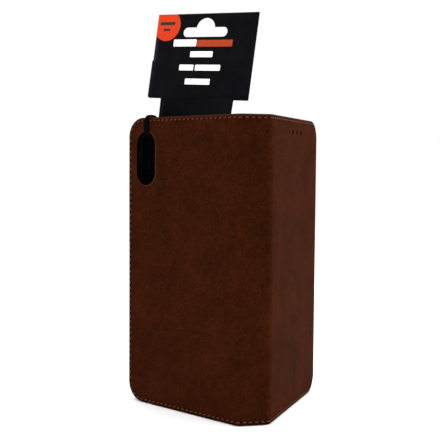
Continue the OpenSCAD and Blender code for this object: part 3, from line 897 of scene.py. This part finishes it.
# %% Card board
card_board, card_shader = new_material("coated_black_board", Specular_IOR_Level=0.012)
card_flat = add_node(card_board, "Attribute", "Vector", {"attribute_name": "flat"})
crease_highlight = add_node(card_board, "Attribute", "Fac", {"attribute_name": "crease"})
card_cloud = add_node(card_board, "TexNoise", Vector=card_flat, Scale=0.12, Detail=4.0,
                      Roughness=0.6)
card_fibre = add_node(card_board, "TexNoise", Vector=card_flat, Scale=4.5, Detail=3.0,
                      Roughness=0.7)
card_black = add_node(card_board, "ValToRGB", stops=[(0.3, "08080a"), (0.75, "0f0f12")],
                      Fac=card_cloud)
# painted highlight: the score lines are lightened to 2a2a2f along their crease
wire(card_board, card_shader, {
    "Base_Color": add_node(card_board, "Mix", 2, {"data_type": "RGBA"}, i0=crease_highlight,
                           i6=card_black, i7=linear("2a2a2f")),
    "Roughness": add_node(card_board, "MapRange", Value=card_cloud, i1=0.3, i2=0.7, i3=0.38,
                          i4=0.52),
    "Normal": add_node(card_board, "Bump", Strength=0.18, Distance=0.06 * MM,
                       Height=card_fibre)})
print("card:", card_board.name)

# %% [markdown]
# The head's outline is walked once, with its corners softened by a third of a millimetre.
# The Euro slot is a wide slot with a raised middle.

# %% Card head
CARD_T = 0.5
CARD_MID = 11.3
HEAD_AT = (-38.9, CARD_MID, 158.0)
HEAD_TURN = tuple(math.radians(a) for a in (10, -8.0, 3.4))
HEAD_W, HEAD_H, CREASE_H, LOWER_STEP = 60.7, 44.2, 20.0, 0.5
EURO_W, EURO_H, EURO_DROP, EURO_SHIFT, DOME_R, DOME_RISE = 26.7, 5.0, 9.6, -0.1, 5.7, 4.8
NECK_L, NECK_R = -22.2, 21.8
TONGUE_L, TONGUE_R = -66.0, -15.9
NECK_TOP = 149.6

head_turn = (Matrix.Rotation(HEAD_TURN[0], 3, "Z") @ Matrix.Rotation(HEAD_TURN[1], 3, "X")
             @ Matrix.Rotation(HEAD_TURN[2], 3, "Y"))


def on_head(x, n, z):
    """A point of the card's head: x across, n inwards, z up from its lower edge."""
    spot = head_turn @ Vector((x, n, z))
    return on_back((HEAD_AT[0] + spot.x, HEAD_AT[1] + spot.y, HEAD_AT[2] + spot.z))


def rounded(corners, count=5):
    """A closed outline from (x, z, radius) corners."""
    loop, size = [], len(corners)
    for k, (x, z, r) in enumerate(corners):
        p = Vector((x, z))
        before = (Vector(corners[k - 1][:2]) - p).normalized()
        after = (Vector(corners[(k + 1) % size][:2]) - p).normalized()
        for j in range(count + 1):
            t = j / count
            loop.append(tuple(p + r * ((1 - t) ** 2 * before + t ** 2 * after)))
    return loop


def euro_slot():
    """The slot's outline, with its dome."""
    half, r = EURO_W / 2, EURO_H / 2
    top = HEAD_H - EURO_DROP
    loop = [(EURO_SHIFT - half + r + r * math.cos(a), top + r * math.sin(a))
            for a in (math.radians(90 + 180 * k / 12) for k in range(13))]
    loop += [(EURO_SHIFT + half - r + r * math.cos(a), top + r * math.sin(a))
             for a in (math.radians(-90 + 180 * k / 12) for k in range(13))]
    dome_z = top + r + DOME_RISE - DOME_R
    start = math.asin(max(-1, (top + r - dome_z) / DOME_R))
    loop += [(EURO_SHIFT + DOME_R * math.cos(a), dome_z + DOME_R * math.sin(a))
             for a in (start + (math.pi - 2 * start) * k / 20 for k in range(21))]
    return loop


def card_sheet(name, outline, holes, place, creases=(), step=3.0, thickness=CARD_T):
    """A flat sheet with softened cut edges, wrapped by place(x, n, z)."""
    bm = bmesh.new()
    half, soft = thickness / 2, 0.08
    points, edges = [], []

    def chain(loop):
        start = len(points)
        points.extend(Vector(p) for p in loop)
        edges.extend((start + k, start + (k + 1) % len(loop)) for k in range(len(loop)))

    def offset(loop, by):
        out = []
        for k, p in enumerate(loop):
            a, b = Vector(loop[k - 1]), Vector(loop[(k + 1) % len(loop)])
            way = b - a
            out.append(tuple(Vector(p) + by * Vector((-way.y, way.x)).normalized()))
        return out

    loops = [offset(outline, soft if not clockwise(outline) else -soft)]
    loops += [offset(h, soft if clockwise(h) else -soft) for h in holes]
    for loop in loops:
        chain(loop)
    low = [min(p[k] for p in outline) for k in (0, 1)]
    high = [max(p[k] for p in outline) for k in (0, 1)]
    heights = spread(low[1], high[1], step, creases, 0.3, 1.3)
    for x in spread(low[0], high[0], step):
        for z in heights:
            if inside(loops[0], (x, z)) and not near(loops[0], (x, z), 0.5) and not any(
                    inside(h, (x, z)) or near(h, (x, z), 0.5) for h in loops[1:]):
                points.append(Vector((x, z)))
    verts, _, faces, *_ = delaunay_2d_cdt(points, edges, [], 1, 1e-5)
    kept = []
    for f in faces:
        mid = sum((verts[i] for i in f), Vector((0, 0))) / len(f)
        if inside(loops[0], mid) and not any(inside(h, mid) for h in loops[1:]):
            kept.append(f)
    for side in (-1, 1):
        made = [bm.verts.new((v.x, side * half, v.y)) for v in verts]
        for f in kept:
            bm.faces.new([made[i] for i in f])
    for inner, outer in zip(loops, [outline, *holes]):
        rows = [[(x, -half, z) for x, z in inner], [(x, -half + soft, z) for x, z in outer],
                [(x, half - soft, z) for x, z in outer], [(x, half, z) for x, z in inner]]
        made = [[bm.verts.new(p) for p in row] for row in rows]
        for a, b in zip(made, made[1:]):
            join_rings(bm, a, b)
    weld(bm, 2e-3)
    bmesh.ops.recalc_face_normals(bm, faces=bm.faces)
    flat = bm.verts.layers.float_vector.new("flat")
    crease = bm.verts.layers.float.new("crease")
    for v in bm.verts:
        x, n, z = v.co
        v[flat] = (x, n, z)
        # the crease value marks the score lines for their painted highlight
        v[crease] = sum(math.exp(-((z - c) / 0.35) ** 2) for c in creases)
        v.co = place(x, n, z)
    return new_object(name, bm)


def clockwise(loop):
    return sum(a[0] * b[1] - b[0] * a[1] for a, b in zip(loop, loop[1:] + loop[:1])) < 0


def dented(place, creases, depth=0.12):
    """Presses score lines into a placed sheet."""

    def pressed(x, n, z):
        dent = sum(depth * math.exp(-((z - c) / 0.45) ** 2) for c in creases)
        return place(x, n + dent, z)

    return pressed


HEAD_CREASES = (2.1, CREASE_H)
half_w = HEAD_W / 2
head_outline = rounded([
    (-half_w, HEAD_H, 0.5), (-half_w, CREASE_H, 0.1), (-half_w - LOWER_STEP, CREASE_H - 0.3, 0.15),
    (-half_w - LOWER_STEP, 0, 1.6), (half_w, 0, 0.5), (half_w, HEAD_H, 0.5)])
head = card_sheet("card_head", head_outline, [euro_slot()], dented(on_head, HEAD_CREASES),
                  creases=HEAD_CREASES)

# %% [markdown]
# Below the head the same board narrows to a neck, and goes down behind the tray's lip as a
# wide insert with round corners. It is one sheet with a bend just above the tray. Near the
# camera opening a punched hole takes the strap.

# %% Card neck and insert
INSERT_X, INSERT_W, INSERT_LOW, INSERT_HIGH, INSERT_R = -38.75, 71.4, 4.0, 146.0, 8.0
CARD_HOLE = (-62.36, 134.9, 2.8)
insert_l, insert_r = INSERT_X - INSERT_W / 2, INSERT_X + INSERT_W / 2
insert_outline = rounded([
    (insert_l, INSERT_LOW, INSERT_R), (insert_r, INSERT_LOW, INSERT_R),
    (insert_r, INSERT_HIGH, INSERT_R), (TONGUE_R, INSERT_HIGH, 0.6), (TONGUE_R, NECK_TOP, 0.05),
    (TONGUE_L, NECK_TOP, 0.05), (TONGUE_L, INSERT_HIGH, 0.3),
    (insert_l, INSERT_HIGH, 0.95 * INSERT_R)])
hole_x, hole_z, hole_r = CARD_HOLE
card_hole = [(hole_x + hole_r * math.cos(a), hole_z + hole_r * math.sin(a))
             for a in (2 * math.pi * k / 32 for k in range(32))]
insert = card_sheet("card_insert", insert_outline, [card_hole],
                    lambda x, n, z: on_back((x, CARD_MID + n, z)), step=6.0)


def neck_sheet():
    """The bent strip from the insert's top to the head's lower edge."""
    bm = bmesh.new()
    flat = bm.verts.layers.float_vector.new("flat")
    bm.verts.layers.float.new("crease")
    rows, steps, cols = [], 12, 16
    for k in range(steps + 1):
        t = k / steps
        row = []
        for side in (-1, 1):
            for j in range(cols + 1):
                x = NECK_L + (NECK_R - NECK_L) * j / cols
                x_low = TONGUE_L + (TONGUE_R - TONGUE_L) * j / cols
                n = side * CARD_T / 2
                foot = on_back((x_low, CARD_MID + n, NECK_TOP - 0.4))
                top = on_head(x, n, 0.5)
                spot = foot.lerp(top, t)
                v = bm.verts.new(spot)
                v[flat] = (x, n, NECK_TOP + 9 * t)
                row.append(v)
        rows.append(row)
    size = cols + 1
    for a, b in zip(rows, rows[1:]):
        for side in (0, size):
            for j in range(side, side + cols):
                bm.faces.new((a[j], a[j + 1], b[j + 1], b[j]))
        for j, m in ((0, size), (cols, size + cols)):
            bm.faces.new((a[j], b[j], b[m], a[m]))
    for row in (rows[0], rows[-1]):
        for j in range(cols):
            bm.faces.new((row[j], row[j + 1], row[size + j + 1], row[size + j]))
    bmesh.ops.recalc_face_normals(bm, faces=bm.faces)
    return new_object("card_neck", bm)


neck = neck_sheet()
for part in (head, insert, neck):
    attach(part, "hang_card")
    dress(part, card_board)
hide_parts("hang_card")
print("card:", f"{HEAD_W} x {HEAD_H} mm head,", f"{INSERT_W} mm wide insert")

# %% [markdown]
# ## Print and sticker
# Screen ink lies a few hundredths of a millimetre over the coating, with soft corners. The
# sticker is glossy orange paper with a thin clear coat. Two dark bars stand for its words.


# %% Inks and label
def ink(name, shade, dim, **values):
    """A printed coat with slight thin spots."""
    material, shader = new_material(name, **values)
    flat = add_node(material, "Attribute", "Vector", {"attribute_name": "flat"})
    thin = add_node(material, "TexNoise", Vector=flat, Scale=1.3, Detail=4.0, Roughness=0.7)
    wire(material, shader, {
        "Base_Color": add_node(material, "ValToRGB", stops=[(0.3, dim), (0.6, shade)], Fac=thin),
        "Normal": add_node(material, "Bump", Strength=0.1, Distance=0.03 * MM, Height=thin)})
    return material


white_ink = ink("white_screen_ink", "f8f7f4", "eceae6", Roughness=0.5, Specular_IOR_Level=0.2)
orange_ink = ink("orange_screen_ink", "a8391a", "943010", Roughness=0.5, Specular_IOR_Level=0.1)
dark_ink = ink("dark_label_ink", "1c1512", "120d0b", Roughness=0.4, Specular_IOR_Level=0.2)
label_paper = ink("glossy_orange_label", "c63713", "bb3310", Roughness=0.35,
                  Specular_IOR_Level=0.04, Coat_Weight=0.03, Coat_Roughness=0.2)


def flat_patch(name, outlines, level, height, material, place=on_head):
    """Thin raised patches on the head's outer face, with rounded edges."""
    bm = bmesh.new()
    flat = bm.verts.layers.float_vector.new("flat")
    for outline in outlines:
        cx = sum(p[0] for p in outline) / len(outline)
        cz = sum(p[1] for p in outline) / len(outline)
        rows = []
        for n, shrink in ((0.0, 1.0), (0.6, 0.999), (1.0, 0.985)):
            row = []
            for x, z in outline:
                spot = (cx + (x - cx) * shrink, level - height * n, cz + (z - cz) * shrink)
                v = bm.verts.new(place(*spot))
                v[flat] = spot
                row.append(v)
            rows.append(row)
        for a, b in zip(rows, rows[1:]):
            join_rings(bm, a, b)
        bm.faces.new(rows[-1])
        bm.faces.new(list(reversed(rows[0])))
    bmesh.ops.recalc_face_normals(bm, faces=bm.faces)
    piece = new_object(name, bm, smooth=False)
    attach(piece, "hang_card")
    return dress(piece, material)


def bar(left, right, top, bottom, radius=0.45):
    """A bar's outline, measured from the head's top left corner."""
    x0, x1 = left - half_w, right - half_w
    z0, z1 = HEAD_H - bottom, HEAD_H - top
    return rounded([(x0, z0, radius), (x1, z0, radius), (x1, z1, radius), (x0, z1, radius)])


WHITE_BARS = [(11.8, 25.9, 13.4, 17.0), (23.0, 36.6, 19.6, 22.6), (17.3, 26.0, 26.5, 29.5),
              (27.0, 42.1, 26.5, 29.5), (21.9, 37.0, 33.7, 36.7)]
ORANGE_BAR = (26.3, 47.5, 13.7, 17.2)
FACE = -CARD_T / 2
whites = flat_patch("white_print_bars", [bar(*b) for b in WHITE_BARS], FACE + 0.02, 0.06,
                    white_ink)
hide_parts("print_white")
orange = flat_patch("orange_print_bar", [bar(*ORANGE_BAR)], FACE + 0.02, 0.06, orange_ink)
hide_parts("print_orange")

STICKER_AT, STICKER_R = (6.5 - half_w, HEAD_H - 6.0), 8.1
disc = [(max(-half_w + 0.05, STICKER_AT[0] + STICKER_R * math.cos(a)),
         min(HEAD_H - 0.05, STICKER_AT[1] + STICKER_R * math.sin(a)))
        for a in (2 * math.pi * k / 96 for k in range(96))]
sticker = flat_patch("size_sticker_disc", [disc], FACE + 0.02, 0.1, label_paper)
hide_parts("size_sticker")
words = [bar(1.9, 11.3, 4.1, 5.7, 0.3), bar(4.4, 8.6, 7.6, 8.8, 0.3)]
flat_patch("sticker_dark_bars", words, FACE - 0.075, 0.03, dark_ink)
print("print:", len(WHITE_BARS) + 1, "bars and a sticker", 2 * STICKER_R, "mm across")

# %% [markdown]
# ## The tie loop
# A flat black elastic passes through the camera opening and the card's hole, and over the
# cover's top edge. It is held all the way round, so it keeps this route. The strap is woven
# with fine lengthwise ribs, and has only a faint gloss.

# %% Tie loop
elastic, elastic_shader = new_material("glossy_black_elastic", Roughness=0.6,
                                       Specular_IOR_Level=0.004)
on_strap = add_node(elastic, "Attribute", "Vector", {"attribute_name": "flat"})
ribs = add_node(elastic, "TexWave", "Fac", {"bands_direction": "X"}, Vector=on_strap,
                Scale=0.55, Distortion=0.15, Detail=1.0)
picks = add_node(elastic, "TexWave", "Fac", {"bands_direction": "Y"}, Vector=on_strap,
                 Scale=0.8, Distortion=0.3)
weave = add_node(elastic, "Math", 0, {"operation": "MULTIPLY_ADD"}, i0=picks, i1=0.35, i2=ribs)
wire(elastic, elastic_shader, {
    "Base_Color": add_node(elastic, "ValToRGB", stops=[(0.1, "020203"), (1.0, "07080b")],
                           Fac=weave),
    "Normal": add_node(elastic, "Bump", Strength=0.2, Distance=0.08 * MM, Height=weave)})

STRAP_W, STRAP_T = 3.2, 0.9
sm = CAMERA_U + 0.3
LOOP_ROUTE = [
    (sm + 0.5, -1.75, 142), (sm + 0.6, -1.8, 146.2), (sm + 1.2, -0.8, 149.6),
    (sm + 0.4, 3, 149.8), (sm - 4.2, 8, 149.6), (sm - 5.6, 11.6, 149.2), (sm - 5.5, 13, 146.6),
    (sm - 3.6, 12.9, 141.5), (sm - 1, 12.7, 137.2), (sm, 11.4, 134.9), (sm, 7.5, 134.8),
    (sm + 0.6, 3.2, 137.6), (sm + 0.8, -0.5, 140.2)]
STEPS = 10


def smooth_loop(points, steps):
    """A closed Catmull-Rom curve through points."""
    out, size = [], len(points)
    for k in range(size):
        a, b, c, d = (Vector(points[(k + j) % size]) for j in (-1, 0, 1, 2))
        for j in range(steps):
            t = j / steps
            out.append(0.5 * (2 * b + (c - a) * t + (2 * a - 5 * b + 4 * c - d) * t * t
                              + (3 * b - a - 3 * c + d) * t ** 3))
    return out


def strap(name, route):
    """A flat closed strap with rounded selvedges."""
    bm = bmesh.new()
    flat = bm.verts.layers.float_vector.new("flat")
    path, rings, walked = smooth_loop(route, STEPS), [], 0.0
    section = []
    for k in range(20):
        a = 2 * math.pi * k / 20
        section.append((math.copysign(abs(math.cos(a)) ** 0.45, math.cos(a)) * STRAP_W / 2,
                        math.copysign(abs(math.sin(a)) ** 0.8, math.sin(a)) * STRAP_T / 2))
    for k, p in enumerate(path):
        way = (path[(k + 1) % len(path)] - path[k - 1]).normalized()
        side = (Vector((1, 0, 0)) - way * way.x).normalized()
        up = way.cross(side)
        ring = []
        for w, t in section:
            v = bm.verts.new(on_back(p + side * w + up * t))
            v[flat] = (w, walked, t)
            ring.append(v)
        rings.append(ring)
        walked += (path[(k + 1) % len(path)] - p).length
    for a, b in zip(rings, rings[1:] + rings[:1]):
        join_rings(bm, a, b)
    bmesh.ops.recalc_face_normals(bm, faces=bm.faces)
    return new_object(name, bm), walked


loop, loop_length = strap("tie_loop_strap", LOOP_ROUTE)
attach(loop, "back_cover")
dress(loop, elastic)
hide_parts("tie_loop")
print(f"tie loop: {loop_length:.0f} mm round")

# %% [markdown]
# ## Parts that keep their CAD shape
# The tray is an injection-moulded TPU shell, bevelled here so that its lip catches light.
# The greyboard stiffeners, the steel discs and the clear tape are closed inside the layers,
# but each still gets the finish of the real thing.


# %% Tray and inner parts
def pressed_stock(name, dark, light, grit_mm, smoothest, depth_mm, **values):
    """A moulded, pressed or plated material with a fine surface texture."""
    material, shader = new_material(name, **values)
    place = add_node(material, "TexCoord", "Object")
    # a noise cell is about one over its scale, in metres here
    grit = add_node(material, "TexNoise", Vector=place, Scale=1 / (grit_mm * MM), Detail=4.0,
                    Roughness=0.65)
    cloud = add_node(material, "TexNoise", Vector=place, Scale=60.0, Detail=3.0)
    wire(material, shader, {
        "Base_Color": add_node(material, "ValToRGB", stops=[(0.3, dark), (0.7, light)],
                               Fac=cloud),
        "Roughness": add_node(material, "MapRange", Value=grit, i1=0.3, i2=0.7, i3=smoothest,
                              i4=smoothest + 0.14),
        "Normal": add_node(material, "Bump", Strength=0.3, Distance=depth_mm * MM,
                           Height=grit)})
    return material


soft_tpu = pressed_stock("matt_black_tpu", "0a0a0c", "111114", 0.6, 0.5, 0.05,
                         Specular_IOR_Level=0.08)
greyboard = pressed_stock("pressed_greyboard", "6d6861", "8d877e", 0.45, 0.84, 0.08)
plated_steel = pressed_stock("plated_steel", "8d8f93", "b4b6ba", 0.4, 0.24, 0.02, Metallic=1.0)
film_tape = pressed_stock("clear_film_tape", "b9bab6", "cfd0cc", 1.1, 0.2, 0.02, Alpha=0.45)
kept = {"phone_tray": soft_tpu, "back_board": greyboard, "spine_board": greyboard,
        "front_board": greyboard, "tip_board": greyboard, "back_magnet": plated_steel,
        "tip_magnet": plated_steel, "tray_tape": film_tape}
for name, material in kept.items():
    node = frame["nodes"][name]
    node.data.materials.clear()
    node.data.materials.append(material)
    bevel = node.modifiers.new("soft_edges", "BEVEL")
    bevel.width = 0.25 * MM if name == "phone_tray" else 0.08 * MM
    bevel.segments = 2
    bevel.limit_method = "ANGLE"
    bevel.angle_limit = math.radians(40)
print("kept from the CAD:", ", ".join(kept))

# %% [markdown]
# ## Studio
# A plain white floor and a white surround, as in a small studio. A soft key light stands
# behind on the right, so it brightens the front cover and leaves the back cover deeper. A
# weak light fills from the front left, and a broad one hangs above.

# %% Floor and light
floor_material, floor_shader = new_material("matt_white_floor", Roughness=0.8,
                                            Specular_IOR_Level=0.2)
floor_cloud = add_node(floor_material, "TexNoise", Scale=3.0, Detail=2.0,
                       Vector=add_node(floor_material, "TexCoord", "Object"))
wire(floor_material, floor_shader, {"Base_Color": add_node(
    floor_material, "ValToRGB", stops=[(0.2, "fefefd"), (0.8, "ffffff")], Fac=floor_cloud)})
bpy.ops.mesh.primitive_plane_add(size=6, location=(0, 0, -0.2 * MM))
floor = bpy.context.object
floor.name = "studio_floor"
floor.data.materials.append(floor_material)

world = bpy.data.worlds.new("studio")
bpy.context.scene.world = world
world.use_nodes = True
world.node_tree.nodes["Background"].inputs["Color"].default_value = linear("ffffff")
world.node_tree.nodes["Background"].inputs["Strength"].default_value = 1.0


def soft_light(name, at, size, power, towards=(0, 0, 0.09)):
    """A square area light at a place, aimed at the case."""
    light = bpy.data.lights.new(name, "AREA")
    light.size, light.energy = size, power
    lamp = bpy.data.objects.new(name, light)
    lamp.location = at
    lamp.rotation_euler = (Vector(towards) - Vector(at)).to_track_quat("-Z", "Y").to_euler()
    bpy.context.scene.collection.objects.link(lamp)
    return lamp


soft_light("key_light", (0.72, 0.92, 0.5), 0.6, 14.5)
soft_light("fill_light", (-0.6, -0.7, 0.5), 0.9, 2.0)
soft_light("top_light", (0, -0.2, 1.5), 1.2, 12.0)
bpy.context.scene.view_settings.view_transform = "Standard"
